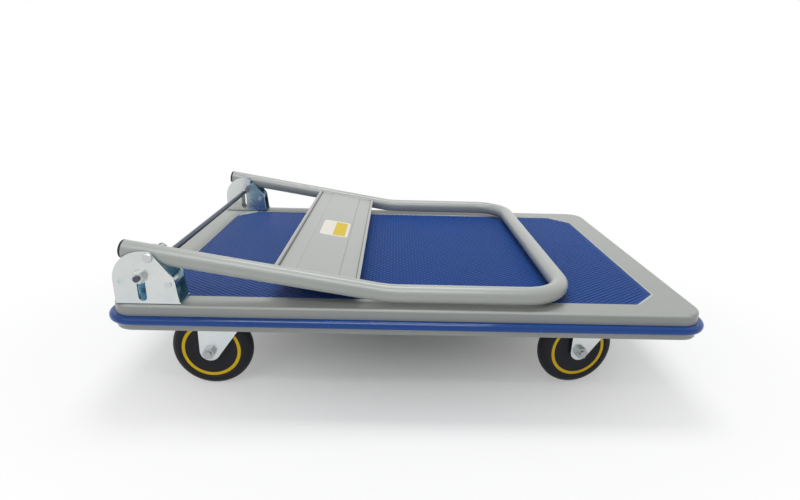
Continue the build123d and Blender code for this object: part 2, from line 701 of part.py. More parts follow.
def rim():
    """The wheel centre: outer band, web with ribs, and hub, recessed for the side covers."""
    band = RIM_DIAMETER / 2
    band_half = WHEEL_WIDTH / 2 - TYRE_SIDE_STEP
    bed = band - RIM_BAND
    hub = HUB_DIAMETER / 2
    hub_half = FORK_HALF_GAP - HUB_FACE_GAP
    bore = BUSH_DIAMETER / 2 + RUNNING_GAP
    web_half = RIM_WEB / 2
    body = ring_of([
        (bore, -hub_half), (hub, -hub_half), (hub, -web_half), (bed, -web_half),
        (bed, -band_half), (band, -band_half), (band, band_half), (bed, band_half),
        (bed, web_half), (hub, web_half), (hub, hub_half), (bore, hub_half),
    ])
    rib_half = band_half - COVER_THICKNESS - COVER_DISH - FACE_GAP
    length = bed - hub + 2 * SEAT_GAP
    for index in range(RIM_RIB_COUNT):
        rib = Box(length, 2 * rib_half, RIM_RIB_THICKNESS, align=(Align.MIN, Align.CENTER, Align.CENTER))
        body += Rot(0, index * 360 / RIM_RIB_COUNT, 0) * (Pos(hub - SEAT_GAP, 0, 0) * rib)
    return body


def covers():
    """The two dished discs that close the wheel centre inside its band."""
    outer = RIM_DIAMETER / 2 - RIM_BAND - SEAT_GAP
    inner = HUB_DIAMETER / 2 + SEAT_GAP
    face = WHEEL_WIDTH / 2 - TYRE_SIDE_STEP
    middle = (outer + inner) / 2
    disc = ring_of([
        (inner, face), (middle, face - COVER_DISH), (outer, face),
        (outer, face - COVER_THICKNESS), (middle, face - COVER_THICKNESS - COVER_DISH),
        (inner, face - COVER_THICKNESS),
    ])
    return [disc, mirror(disc, Plane.XZ)]


def bush():
    """The sleeve clamped between the fork legs, which the wheel turns on."""
    ring = Circle(BUSH_DIAMETER / 2) - Circle(AXLE_DIAMETER / 2 + SEAT_GAP)
    place = Plane(origin=(0, -FORK_HALF_GAP, 0), x_dir=(1, 0, 0), z_dir=(0, 1, 0))
    return place * extrude(ring, 2 * FORK_HALF_GAP)


def axle(side):
    """The axle bolt, with its head on the inner side of the caster."""
    head_height = HEAD_HEIGHT * AXLE_DIAMETER
    tip = FORK_HALF_WIDTH + NUT_HEIGHT * AXLE_DIAMETER + AXLE_TIP
    shank = along_y(AXLE_DIAMETER / 2, -FORK_HALF_WIDTH - SEAT_GAP, tip, 0, 0)
    place = facing_y(-1, 0, -FORK_HALF_WIDTH, 0)
    bolt = shank + place * hexagon(AXLE_DIAMETER, head_height)
    return bolt if side > 0 else mirror(bolt, Plane.XZ)


def axle_nut(side):
    """The nut on the outer side of the caster."""
    return facing_y(side, 0, side * FORK_HALF_WIDTH, 0) * nut(AXLE_DIAMETER)


def rear_wheel_place(side):
    """The middle of a rear wheel."""
    return Pos(REAR_AXLE_X, side * REAR_WHEEL_Y, AXLE_Z)


def front_wheel_place(side):
    """The middle of a front wheel, turned with its fork."""
    return swivel_place(side) * Pos(-CASTER_TRAIL, 0, AXLE_Z)


# Handle

def tube_direction():
    """The direction of the lower tubes, from the pivot towards the bend."""
    slope = radians(HANDLE_SLOPE)
    return Vector(cos(slope), 0, -sin(slope))


def handle_path(tail):
    """The middle line of the bent handle tube. Its tails end this far behind the pivot."""
    flat_z = DECK_Z + HANDLE_REST_GAP + TUBE_RADIUS
    bend_x = PIVOT_X + (PIVOT_Z - flat_z) / tan(radians(HANDLE_SLOPE))
    cross_x = PIVOT_X + HANDLE_REACH
    half = [
        Vector(PIVOT_X, BRACKET_Y, PIVOT_Z) - tube_direction() * tail,
        Vector(bend_x, BRACKET_Y, flat_z),
        Vector(cross_x, BRACKET_Y, flat_z),
    ]
    far_half = [Vector(point.X, -point.Y, point.Z) for point in reversed(half)]
    bends = [HANDLE_BEND_RADIUS, HANDLE_CORNER_RADIUS]
    return FilletPolyline(*half, *far_half, radius=bends + bends[::-1])


def handle_tube():
    """One tube bent to the handle's loop, open at both tails, with the pivot's holes."""
    tail = TAIL_LENGTH - PLUG_FLANGE
    path = handle_path(tail)
    start = Plane(origin=path @ 0, z_dir=path % 0)
    tube = sweep(start * Circle(TUBE_RADIUS), path=path)
    tube -= sweep(start * Circle(TUBE_RADIUS - TUBE_WALL), path=path)
    reach = BRACKET_Y + TUBE_DIAMETER
    return tube - along_y(PIVOT_DIAMETER / 2 + RUNNING_GAP, -reach, reach, PIVOT_X, PIVOT_Z)


def end_plug(side):
    """The plug in a tube's tail, with a rounded flange."""
    outward = tube_direction() * -1
    place = Plane(
        origin=Vector(PIVOT_X, side * BRACKET_Y, PIVOT_Z) + outward * (TAIL_LENGTH - PLUG_FLANGE),
        x_dir=(0, 1, 0),
        z_dir=outward,
    )
    flange = extrude(Circle(TUBE_RADIUS), PLUG_FLANGE)
    flange = fillet(flange.edges().sort_by(Axis.Z)[-1], PLUG_ROUND)
    spigot = extrude(Circle(TUBE_RADIUS - TUBE_WALL - SEAT_GAP), -PLUG_DEPTH)
    return place * (flange + spigot)


def handle_panel():
    """The pressed cross panel between the lower tubes, with raised lips and folded ends."""
    half = BRACKET_Y - TUBE_RADIUS - SEAT_GAP
    slope_place = Plane(origin=(PIVOT_X, 0, PIVOT_Z), x_dir=tube_direction(), z_dir=(0, -1, 0))
    lip = PANEL_SHEET / 2
    top = PANEL_LEVEL + PANEL_LIP_RISE
    start = PANEL_START + lip
    end = PANEL_START + PANEL_WIDTH - lip
    step = PANEL_STEP_INSET
    side_points = [
        (start, top - PANEL_LIP_DROP),
        (start, top),
        (start + PANEL_LIP_WIDTH, top),
        (start + PANEL_LIP_WIDTH, PANEL_LEVEL),
        (start + step, PANEL_LEVEL),
        (start + step + PANEL_STEP_RISE, PANEL_LEVEL + PANEL_STEP_RISE),
    ]
    other_points = [(start + end - along, level) for along, level in reversed(side_points)]
    section = trace(Polyline(*side_points, *other_points), line_width=PANEL_SHEET)
    panel = extrude(slope_place * section, half, both=True)
    flange = Polyline(
        (PANEL_START, -PANEL_END_DROP),
        (PANEL_START + PANEL_WIDTH, -PANEL_END_DROP),
        (PANEL_START + PANEL_WIDTH, PANEL_LEVEL),
        (PANEL_START, PANEL_LEVEL),
        close=True,
    )
    end_sheet = extrude(slope_place * make_face(flange), PANEL_SHEET)
    panel += Pos(0, PANEL_SHEET - half, 0) * end_sheet
    panel += Pos(0, half, 0) * end_sheet
    return panel


# Assembly

nodes["deck_pan"] = deck_pan()
nodes["deck_mat"] = deck_mat()
nodes["edge_bumper"] = edge_bumper()
nodes["deck_ribs"] = deck_ribs()
nodes["bracket_bolts"] = bracket_bolts()
nodes["bracket_nuts"] = bracket_nuts()
nodes["hinge_pivots"] = [hinge_pivot(side) for side in SIDES.values()]
nodes["stop_pins"] = [stop_pin(side) for side in SIDES.values()]
nodes["lock_rod"] = lock_rod()
nodes["lock_rod_washers"] = rod_fittings("washer")
nodes["lock_rod_nuts"] = rod_fittings("nut")
nodes["handle_tube"] = handle_tube()
nodes["handle_panel"] = handle_panel()
nodes["handle_end_plugs"] = [end_plug(side) for side in SIDES.values()]
nodes["rear_bushes"] = [rear_wheel_place(side) * bush() for side in SIDES.values()]
nodes["rear_axles"] = [rear_wheel_place(side) * axle(side) for side in SIDES.values()]
nodes["rear_axle_nuts"] = [rear_wheel_place(side) * axle_nut(side) for side in SIDES.values()]
nodes["kingpins"] = kingpins()
nodes["kingpin_nuts"] = kingpin_nuts()
nodes["caster_studs"] = caster_studs()
nodes["caster_nuts"] = caster_nuts()
for name, side in SIDES.items():
    nodes["hinge_bracket_" + name] = hinge_bracket(side)
    nodes["lock_spring_" + name], spring_climb = lock_spring(side)
    nodes["rear_fork_" + name] = rear_fork(side)
    nodes["swivel_plate_" + name] = swivel_plate(side)
    nodes["swivel_race_" + name] = swivel_race(side)
    nodes["swivel_fork_" + name] = swivel_fork(side)
    nodes["front_bush_" + name] = front_wheel_place(side) * bush()
    nodes["front_axle_" + name] = front_wheel_place(side) * axle(side)
    nodes["front_axle_nut_" + name] = front_wheel_place(side) * axle_nut(side)
    for end, place in (("rear", rear_wheel_place(side)), ("front", front_wheel_place(side))):
        nodes[f"{end}_tyre_{name}"] = place * tyre()
        nodes[f"{end}_rim_{name}"] = place * rim()
        nodes[f"{end}_covers_{name}"] = [place * disc for disc in covers()]

print(f"least gap between the curls of a lock spring: {spring_gap(spring_climb):.2f} mm")

os.makedirs("parts", exist_ok=True)
for name, shape in nodes.items():
    solids = shape if isinstance(shape, list) else [shape]
    bodies = [solid for item in solids for solid in item.solids()]
    export_step(bodies[0] if len(bodies) == 1 else Compound(children=bodies), f"parts/{name}.step")
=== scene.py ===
# %% [markdown]
# # A folding platform cart
# The solid model already holds every rigid piece of the cart at its real size. This lesson dresses it:
# it gives each piece its finish, adds the few small things that are better made in Blender, and sets
# up a plain studio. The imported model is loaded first, as a frame that stays as it is.

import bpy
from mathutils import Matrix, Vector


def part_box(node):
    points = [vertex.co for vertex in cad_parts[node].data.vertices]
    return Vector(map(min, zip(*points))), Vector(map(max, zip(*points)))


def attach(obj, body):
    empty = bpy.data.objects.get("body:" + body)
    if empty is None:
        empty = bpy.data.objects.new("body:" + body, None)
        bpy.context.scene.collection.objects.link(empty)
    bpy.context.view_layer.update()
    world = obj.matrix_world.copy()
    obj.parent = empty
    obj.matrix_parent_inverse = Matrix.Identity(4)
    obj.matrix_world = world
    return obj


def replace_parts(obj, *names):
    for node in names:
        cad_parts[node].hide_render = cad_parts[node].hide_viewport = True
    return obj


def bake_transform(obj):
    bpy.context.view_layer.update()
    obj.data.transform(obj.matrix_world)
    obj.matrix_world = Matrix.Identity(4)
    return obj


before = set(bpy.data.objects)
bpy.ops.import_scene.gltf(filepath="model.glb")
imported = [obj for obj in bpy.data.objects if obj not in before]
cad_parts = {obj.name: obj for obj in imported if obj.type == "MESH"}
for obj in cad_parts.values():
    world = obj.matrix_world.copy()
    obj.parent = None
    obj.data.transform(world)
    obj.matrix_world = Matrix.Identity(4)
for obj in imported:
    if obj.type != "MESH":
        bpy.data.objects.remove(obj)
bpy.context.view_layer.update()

# %% Other modules
from math import atan2, cos, pi, radians, sin

import bmesh
import bpy
from mathutils import Matrix, Vector

scene = bpy.context.scene

# %% [markdown]
# ## A way to write finishes
# A finish is a small program in nodes. Wiring each node by hand hides the idea, so one class stands for
# a socket and lets it be added, multiplied or compared like a number. A second class holds one material
# and makes any node that the sums need.

# %% Sockets as numbers
class Value:
    """A node's output that can be used in plain arithmetic."""

    def __init__(self, finish, socket):
        self.finish = finish
        self.socket = socket

    def math(self, operation, *others):
        """A Math node on this value and others."""
        return self.finish.node("Math", {"operation": operation}, dict(enumerate((self, *others))))

    def flipped(self, operation, first):
        """A Math node with a plain number in front."""
        return self.finish.node("Math", {"operation": operation}, {0: first, 1: self})

    def __add__(self, other):
        return self.math("ADD", other)

    def __sub__(self, other):
        return self.math("SUBTRACT", other)

    def __mul__(self, other):
        return self.math("MULTIPLY", other)

    def __pow__(self, other):
        return self.math("POWER", other)

    def __radd__(self, other):
        return self.flipped("ADD", other)

    def __rsub__(self, other):
        return self.flipped("SUBTRACT", other)

    def __rmul__(self, other):
        return self.flipped("MULTIPLY", other)


# %% Materials from sums
class Finish:
    """One procedural material, built around the Principled shader."""

    def __init__(self, name, **constants):
        self.material = bpy.data.materials.new(name)
        self.material.use_nodes = True
        self.tree = self.material.node_tree
        self.shader = self.tree.nodes["Principled BSDF"]
        for socket, value in constants.items():
            self.shader.inputs[socket.replace("_", " ")].default_value = value

    def node(self, kind, settings=None, inputs=None, output=0):
        """Any shader node: its settings first, then the values or links of its sockets."""
        made = self.tree.nodes.new("ShaderNode" + kind)
        for key, value in (settings or {}).items():
            setattr(made, key, value)
        for key, value in (inputs or {}).items():
            if isinstance(value, Value):
                self.tree.links.new(value.socket, made.inputs[key])
            else:
                made.inputs[key].default_value = value
        return Value(self, made.outputs[output])

    def place(self, scale=(1, 1, 1)):
        """The point on the piece, in metres, stretched along the axes."""
        point = self.node("TexCoord", output="Object")
        return self.node("Mapping", {}, {"Vector": point, "Scale": scale})

    def axes(self, vector):
        """The three numbers of a vector."""
        return [self.node("SeparateXYZ", {}, {0: vector}, output=index) for index in range(3)]

    def noise(self, scale, detail, vector=None):
        """Cloudy noise from 0 to 1."""
        sockets = {"Scale": scale, "Detail": detail, "Vector": vector or self.place()}
        return self.node("TexNoise", {}, sockets, output="Fac")

    def smooth(self, value, low, high):
        """0 below low, 1 above high, and a soft step between."""
        settings = {"interpolation_type": "SMOOTHSTEP"}
        return self.node("MapRange", settings, {"Value": value, "From Min": low, "From Max": high})

    def mix(self, mask, first, second):
        """A colour between two, by a mask."""
        return self.node("Mix", {"data_type": "RGBA"}, {0: mask, 6: first, 7: second}, output=2)

    def bump(self, height, distance):
        """Tilts the shading by a height, which stands for a distance in metres."""
        self.feed("Normal", self.node("Bump", {}, {"Height": height, "Distance": distance}))

    def feed(self, socket, value):
        """Links a varying value to the shader."""
        self.tree.links.new(value.socket, self.shader.inputs[socket])


def shade(colour, factor):
    """A colour made lighter or darker."""
    return tuple(channel * factor for channel in colour[:3]) + (1.0,)


# %% [markdown]
# ## Places on the cart
# Some finishes and pieces need to know where the handle turns, how it slopes and how high the deck and
# the mat lie. The handle's pivot and slope are those of the solid model, and the rest is read from it.

# %% Places on the cart
PIVOT = Vector((-0.3625, 0, 0.228))
SLOPE = radians(9.2)
mat_low, mat_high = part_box("deck_mat")
_, pan_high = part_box("deck_pan")
print("deck top", round(pan_high.z, 4), "mat top", round(mat_high.z, 4))

# %% [markdown]
# ## Grey enamel
# The deck, the handle and its panel are sprayed with grey enamel. Sprayed paint isn't quite flat: it has
# a fine orange skin, slow changes of tone, and a little dust. The gloss is set once on the shader, and
# noise moves only the tone and the roughness.

# %% Sprayed paint
GREY = (0.395, 0.41, 0.385, 1.0)
CLOUD_SCALE = 7.0
SPECK_SCALE = 900.0
SKIN_SCALE = 420.0
SKIN_DEPTH = 0.00006


def sprayed(name, colour, gloss, coat, marks=None):
    """Sprayed enamel of one shade and gloss. Marks is a function that adds painted highlights and shade to
    the colour.
    """
    finish = Finish(name, Specular_IOR_Level=gloss, Coat_Weight=coat, Coat_Roughness=0.12)
    cloud = finish.noise(CLOUD_SCALE, 4.0)
    speck = finish.smooth(finish.noise(SPECK_SCALE, 2.0), 0.68, 0.8)
    tone = finish.mix(cloud, shade(colour, 0.92), shade(colour, 1.07))
    paint = finish.mix(speck * 0.18, tone, shade(colour, 0.55))
    finish.feed("Base Color", marks(finish, colour, paint) if marks else paint)
    finish.feed("Roughness", 0.24 + 0.14 * cloud + 0.1 * speck)
    finish.bump(finish.noise(SKIN_SCALE, 2.0), SKIN_DEPTH)
    print("finish:", name)
    return finish


# %% [markdown]
# ## Painted highlights and shade on the enamel
# The deck has painted highlights: a paler line at its fold and at its step to the mat. The panel has
# painted shade along its two creases. Both are masks on the place of a point, so they stay on the piece
# when it moves.

# %% Painted highlights on the deck's edges
STEP_START = 0.008
STEP_END = 0.012
STEP_FOOT = 0.0008
FOLD_START = 0.0045
FOLD_END = 0.0025
FOLD_LOW = 0.0038
FOLD_HIGH = 0.0024


def painted_edge_highlights(finish, colour, paint):
    """Painted highlight: paler paint on the step to the mat and on the deck's upper fold."""
    x, y, z = finish.axes(finish.place())
    along = x.math("ABSOLUTE")
    across = y.math("ABSOLUTE")
    outside = finish.smooth(along, mat_high.x + STEP_START, mat_high.x + STEP_END)
    beside = finish.smooth(across, mat_high.y + STEP_START, mat_high.y + STEP_END)
    outside = outside.math("MAXIMUM", beside)
    step = (1 - finish.smooth(z, mat_high.z + STEP_FOOT, pan_high.z)) * (1 - outside)
    end_fold = finish.smooth(along, pan_high.x - FOLD_START, pan_high.x - FOLD_END)
    side_fold = finish.smooth(across, pan_high.y - FOLD_START, pan_high.y - FOLD_END)
    fold = end_fold.math("MAXIMUM", side_fold)
    fold = fold * finish.smooth(z, pan_high.z - FOLD_LOW, pan_high.z - FOLD_HIGH)
    # Painted highlight: the step and the fold are mixed towards a paler grey.
    return finish.mix(0.75 * step + 0.6 * fold, paint, shade(colour, 1.6))


# Painted shade: the deck gets a darker copy of the one grey enamel.
deck_paint = sprayed("deck_enamel", shade(GREY, 0.87), 0.2, 0.08, painted_edge_highlights)

# %% Painted shade in the panel's creases
UPPER_CREASE = 0.1717
LOWER_CREASE = 0.2855


def painted_crease_shade(finish, colour, paint):
    """Painted shade along the foot of the panel's two lips, measured down the slope from the pivot."""
    x, _, z = finish.axes(finish.place())
    down = (x - PIVOT.x) * cos(SLOPE) - (z - PIVOT.z) * sin(SLOPE)
    upper = 1 - finish.smooth((down - UPPER_CREASE).math("ABSOLUTE"), 0.0008, 0.0018)
    lower = 1 - finish.smooth((down - LOWER_CREASE).math("ABSOLUTE"), 0.0005, 0.0013)
    # Painted shade: the creases are mixed towards a near-black grey.
    return finish.mix(0.9 * upper + 0.8 * lower, paint, shade(colour, 0.12))


# Painted light and shade: the tubes get a lighter copy of the same grey, and the panel a darker one.
tube_paint = sprayed("tube_enamel", shade(GREY, 1.08), 0.28, 0.12)
panel_paint = sprayed("panel_enamel", shade(GREY, 0.93), 0.4, 0.2, painted_crease_shade)

# %% [markdown]
# ## The mat's plastic
# The mat is soft blue plastic. Its small lozenges are modelled further on, so the finish only tells their
# crowns from the grooves by height: grooves get painted shade and look much darker, and crowns are a little
# lighter, partly rubbed and partly a painted highlight, and smoother. The plain rim counts as crown. A
# painted sheen lies towards the hinge end, and a fine leather grain lies over all of it.

# %% Plain rim of the mat
CORNER_CUT = 0.040
END_RIM = 0.0085
SIDE_RIM = 0.0065
CUT_RIM = 0.011
RIM_BLUR = 0.001
mat = Finish("embossed_mat", Specular_IOR_Level=0.1)
mat_x, mat_y, mat_z = mat.axes(mat.place())
along = mat_x.math("ABSOLUTE")
across = mat_y.math("ABSOLUTE")
end_line = mat_high.x - END_RIM
side_line = mat_high.y - SIDE_RIM
cut_line = mat_high.x + mat_high.y - CORNER_CUT - CUT_RIM
rim = mat.smooth(along, end_line, end_line + RIM_BLUR)
rim = rim.math("MAXIMUM", mat.smooth(across, side_line, side_line + RIM_BLUR))
rim = rim.math("MAXIMUM", mat.smooth(along + across, cut_line, cut_line + RIM_BLUR))
print("plain rim:", END_RIM, SIDE_RIM, CUT_RIM)

# %% Mat plastic
MAT_BLUE = (0.011, 0.052, 0.22, 1.0)
MAT_SHEEN = (0.20, 0.22, 0.26, 1.0)
SHEEN_FULL = -0.32
SHEEN_NONE = 0.05
RELIEF = 0.0009
raised = mat.smooth(mat_z, mat_high.z - RELIEF, mat_high.z - 0.1 * RELIEF).math("MAXIMUM", rim)
worn = mat.noise(9.0, 4.0)
# Crowns are lighter than the mat's blue, partly rubbed and partly a painted highlight.
crown = mat.mix(worn, shade(MAT_BLUE, 1.05), shade(MAT_BLUE, 1.4))
# Painted sheen: towards the hinge end the crowns are mixed towards pale grey.
sheen_end = 1 - mat.smooth(mat_x, SHEEN_FULL, SHEEN_NONE)
crown = mat.mix(0.12 * sheen_end, crown, MAT_SHEEN)
# Painted shade: the grooves are 0.16 of the mat's blue.
mat.feed("Base Color", mat.mix(raised, shade(MAT_BLUE, 0.16), crown))
mat.feed("Roughness", 0.6 - 0.2 * raised + 0.1 * worn)
mat.bump(mat.noise(1500.0, 3.0), 0.0001)
print("finish:", mat.material.name)

# %% [markdown]
# ## The bumper strip
# The strip is extruded soft plastic: glossy, with faint lines that run along it from the die. The lines
# are a noise that is squeezed to thin layers in height, so they follow the strip all round.

# %% Bumper
STRIP_BLUE = (0.004, 0.058, 0.27, 1.0)
DIE_LINES = (3, 3, 900)
strip = Finish("bumper_plastic", Specular_IOR_Level=0.1, Coat_Weight=0.4, Coat_Roughness=0.08)
layers = strip.noise(1.0, 2.0, strip.place(scale=DIE_LINES))
scuff = strip.smooth(strip.noise(60.0, 5.0), 0.6, 0.75)
strip.feed("Base Color", strip.mix(scuff * 0.35, STRIP_BLUE, shade(STRIP_BLUE, 1.9)))
strip.feed("Roughness", 0.12 + 0.08 * layers + 0.2 * scuff)
strip.bump(layers, 0.0001)
print("finish:", strip.material.name)

# %% [markdown]
# ## Plated steel
# Brackets, forks, bolts and springs are zinc plated. Bright zinc is a pale metal with a cool cast, with
# faint rolling lines from the sheet and cloudy patches from the bath. One function makes each shade, so
# a darker fitting shares the same skin. The lines come from a noise that is stretched one way on sheet
# and on the rod, and the same all ways on small turned pieces.

# %% Plated steel
ROLLED_LINES = (60, 60, 1400)
TURNED_LINES = (300, 300, 300)
DRAWN_LINES = (900, 20, 900)


def plated(name, colour, rough, lines, marks=None):
    """Zinc plate of one shade, with lines by the given stretch. Marks is a function that adds colour."""
    finish = Finish(name, Metallic=1.0)
    bath = finish.noise(38.0, 5.0)
    rolled = finish.noise(1.0, 3.0, finish.place(scale=lines))
    stain = finish.smooth(finish.noise(17.0, 4.0), 0.52, 0.72)
    pale = finish.mix(bath, shade(colour, 0.9), shade(colour, 1.08))
    cool = (colour[0] * 0.86, colour[1] * 0.93, colour[2] * 1.02, 1.0)
    plate = finish.mix(stain * 0.5, pale, cool)
    finish.feed("Base Color", marks(finish, plate) if marks else plate)
    finish.feed("Roughness", rough + 0.12 * bath + 0.08 * rolled)
    finish.bump(rolled, 0.00003)
    print("finish:", name)
    return finish


zinc = plated("bright_zinc", (0.64, 0.67, 0.67), 0.15, ROLLED_LINES)
axle_steel = plated("axle_steel", (0.40, 0.42, 0.42), 0.2, TURNED_LINES)
fitting = plated("fitting_zinc", (0.55, 0.57, 0.57), 0.2, TURNED_LINES)
# The rod's near-black colour is partly its own dark plating and partly a painted dark reflection.
rod_steel = plated("rod_steel", (0.085, 0.10, 0.125), 0.22, DRAWN_LINES)

# %% [markdown]
# ## Painted shade and reflection on the brackets
# The brackets' inner faces get a darker blue, a painted shade with a painted reflection of the blue mat,
# and a painted shadow lies along their feet. Everything of a bracket but its outer face counts as inside.
# On the left bracket the blue fades towards the hinge end of the cart.

# %% Bracket plating with painted shade and reflection
LEFT_BLUE = (0.17, 0.33, 0.47, 1.0)
RIGHT_BLUE = (0.28, 0.49, 0.60, 1.0)
FOOT_SHADE = (0.04, 0.045, 0.045, 1.0)
FADE_BEHIND = 0.02
FADE_AHEAD = 0.012
MIDDLE_BLUR = 0.01


def painted_inside_shade(finish, plate):
    """Painted shade and reflection: a darker blue on the brackets' inner faces, and a painted shadow where
    they stand on the deck.
    """
    low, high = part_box("hinge_bracket_left")
    x, y, z = finish.axes(finish.place())
    inside = 1 - finish.smooth(y.math("ABSOLUTE"), high.y - 0.0015, high.y - 0.0005)
    right_side = 1 - finish.smooth(y, -MIDDLE_BLUR, MIDDLE_BLUR)
    reach = finish.smooth(x, PIVOT.x - FADE_BEHIND, PIVOT.x + FADE_AHEAD).math("MAXIMUM", right_side)
    blue = finish.mix(right_side, LEFT_BLUE, RIGHT_BLUE)
    # Painted shade with a painted reflection of the blue mat on the inner faces.
    shaded_plate = finish.mix(0.8 * (inside * reach), plate, blue)
    foot_shade = 1 - finish.smooth(z, low.z + 0.0008, low.z + 0.0018)
    # Painted shadow: a dark line along the feet.
    return finish.mix(0.85 * foot_shade, shaded_plate, FOOT_SHADE)


bracket_zinc = plated("bracket_zinc", (0.62, 0.645, 0.635), 0.15, ROLLED_LINES, painted_inside_shade)

# %% [markdown]
# ## Wheels
# The tyres are black rubber with a dull, slightly dusty side. The wheel centre is moulded in yellow, and
# black discs close it. The hub in the middle is black with old grease, so the yellow is mixed out near
# the centre of each wheel. Those four centres are read from the solids' boxes.

# %% Rubber
RUBBER = (0.014, 0.0145, 0.019, 1.0)
RUBBER_DUST = (0.03, 0.03, 0.032, 1.0)
rubber = Finish("tyre_rubber", Specular_IOR_Level=0.2)
dust = rubber.smooth(rubber.noise(34.0, 6.0), 0.45, 0.8)
rubber.feed("Base Color", rubber.mix(dust * 0.5, RUBBER, RUBBER_DUST))
rubber.feed("Roughness", 0.5 + 0.25 * dust)
rubber.bump(rubber.noise(700.0, 3.0), 0.00012)
print("finish:", rubber.material.name)

# %% Yellow plastic
YELLOW = (0.86, 0.56, 0.003, 1.0)
GREASE = (0.018, 0.018, 0.02, 1.0)
GREASE_RADIUS = 0.031
CLEAN_RADIUS = 0.035
yellow = Finish("yellow_plastic", Specular_IOR_Level=0.25)
flow = yellow.noise(24.0, 3.0)
centres = [sum(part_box(name), Vector()) / 2 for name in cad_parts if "_rim_" in name]
spans = [
    yellow.node("VectorMath", {"operation": "DISTANCE"}, {0: yellow.place(), 1: centre}, output="Value")
    for centre in centres
]
nearest = spans[0]
for span in spans[1:]:
    nearest = nearest.math("MINIMUM", span)
clean = yellow.smooth(nearest, GREASE_RADIUS, CLEAN_RADIUS)
moulding = yellow.mix(flow, shade(YELLOW, 0.86), shade(YELLOW, 1.1))
yellow.feed("Base Color", yellow.mix(clean, GREASE, moulding))
yellow.feed("Roughness", 0.5 - 0.16 * clean + 0.14 * flow)
yellow.bump(yellow.noise(500.0, 2.0), 0.00005)
print("finish:", yellow.material.name, "on", len(centres), "wheels")


# %% Black plastic
def moulded(name, colour, rough, grain):
    """Moulded plastic with a fine spark grain."""
    finish = Finish(name, Specular_IOR_Level=0.2)
    patch = finish.noise(28.0, 4.0)
    finish.feed("Base Color", finish.mix(patch, shade(colour, 0.8), shade(colour, 1.35)))
    finish.feed("Roughness", rough + 0.15 * patch)
    finish.bump(finish.noise(grain, 2.0), 0.00008)
    print("finish:", name)
    return finish


disc = moulded("black_disc", (0.014, 0.0145, 0.020), 0.42, 900.0)
plug = moulded("black_plug", (0.02, 0.02, 0.022), 0.5, 1200.0)

# %% [markdown]
# ## Finishes on the solids
# Each solid keeps its mesh and only gets a material, through a slot of its own object. Names of pieces
# that come in pairs end in a side, so the table below lists only how a name begins. What isn't in the
# table is a small zinc fitting.

# %% Give the solids their finishes
FINISH_OF = {
    "deck_pan": deck_paint,
    "deck_ribs": deck_paint,
    "deck_mat": mat,
    "edge_bumper": strip,
    "handle_tube": tube_paint,
    "handle_panel": panel_paint,
    "handle_end_plugs": plug,
    "hinge_bracket": bracket_zinc,
    "lock_rod": rod_steel,
    "lock_rod_": fitting,
    "rear_fork": zinc,
    "swivel_fork": zinc,
    "swivel_plate": zinc,
    "swivel_race": zinc,
    "rear_tyre": rubber,
    "front_tyre": rubber,
    "rear_rim": yellow,
    "front_rim": yellow,
    "rear_covers": disc,
    "front_covers": disc,
    "rear_axle": axle_steel,
    "front_axle": axle_steel,
}


def finish_for(node):
    """The finish of the longest name that this node's name begins with, or the fittings' zinc."""
    fits = [stem for stem in FINISH_OF if node.startswith(stem)]
    return FINISH_OF[max(fits, key=len)] if fits else fitting


for name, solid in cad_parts.items():
    if not solid.material_slots:
        solid.data.materials.append(None)
    for slot in solid.material_slots:
        slot.link = "OBJECT"
        slot.material = finish_for(name).material
print("dressed solids:", len(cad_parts))

# %% [markdown]
# ## New pieces
# A new piece starts as a bmesh, is shaped by operators in its real place, and becomes an object at the
# origin. The first helper below also gives it a finish in a material slot and the body it rides
# on. The second pulls a ring of edges along, which is how springs, beads and the mat's rim grow.

# %% Turn a bmesh into a piece
def piece(name, mesh, finish, body=None, soft_edges=True):
    """An object at the origin from a finished bmesh, riding on a body of the cart."""
    bmesh.ops.remove_doubles(mesh, verts=mesh.verts, dist=1e-7)
    bmesh.ops.recalc_face_normals(mesh, faces=mesh.faces)
    data = bpy.data.meshes.new(name)
    mesh.to_mesh(data)
    mesh.free()
    for face in data.polygons:
        face.use_smooth = soft_edges
    made = bpy.data.objects.new(name, data)
    scene.collection.objects.link(made)
    data.materials.append(finish.material)
    if body:
        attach(made, body)
    print("piece:", name, len(data.polygons), "faces")
    return made


# %% Pull a ring of edges
def pulled(mesh, edges, move):
    """Pulls a ring of edges along and gives the new ring's points and edges."""
    grown = bmesh.ops.extrude_edge_only(mesh, edges=edges)["geom"]
    points = [item for item in grown if isinstance(item, bmesh.types.BMVert)]
    bmesh.ops.translate(mesh, verts=points, vec=move)
    fresh = set(points)
    return points, [
        item for item in grown if isinstance(item, bmesh.types.BMEdge) and fresh.issuperset(item.verts)
    ]


# %% [markdown]
# ## The hinge springs
# A tension spring pulls the foot rod up towards the pivot on each side. A spring is a circle spun round
# an axis while it climbs, and its ends turn to run straight to the pin and the rod. It's made lying along
# Z and then turned into place.

# %% Sizes of the springs
ROD = Vector((-0.377, 0, 0.2004))
PIN_RADIUS = 0.0045
END_GAP = 0.0003
SPRING_SIDE = 0.2358
WIRE = 0.0007
WIRE_SIDES = 10
COIL = 0.0040
TURNS = 7
STEPS_A_TURN = 20
BEND = 0.0016
BEND_STEPS = 6
STRAIGHT = 0.0016
spring_line = ROD - PIVOT
spring_length = spring_line.length - 2 * (PIN_RADIUS + END_GAP)
print("spring length:", round(spring_length, 4))


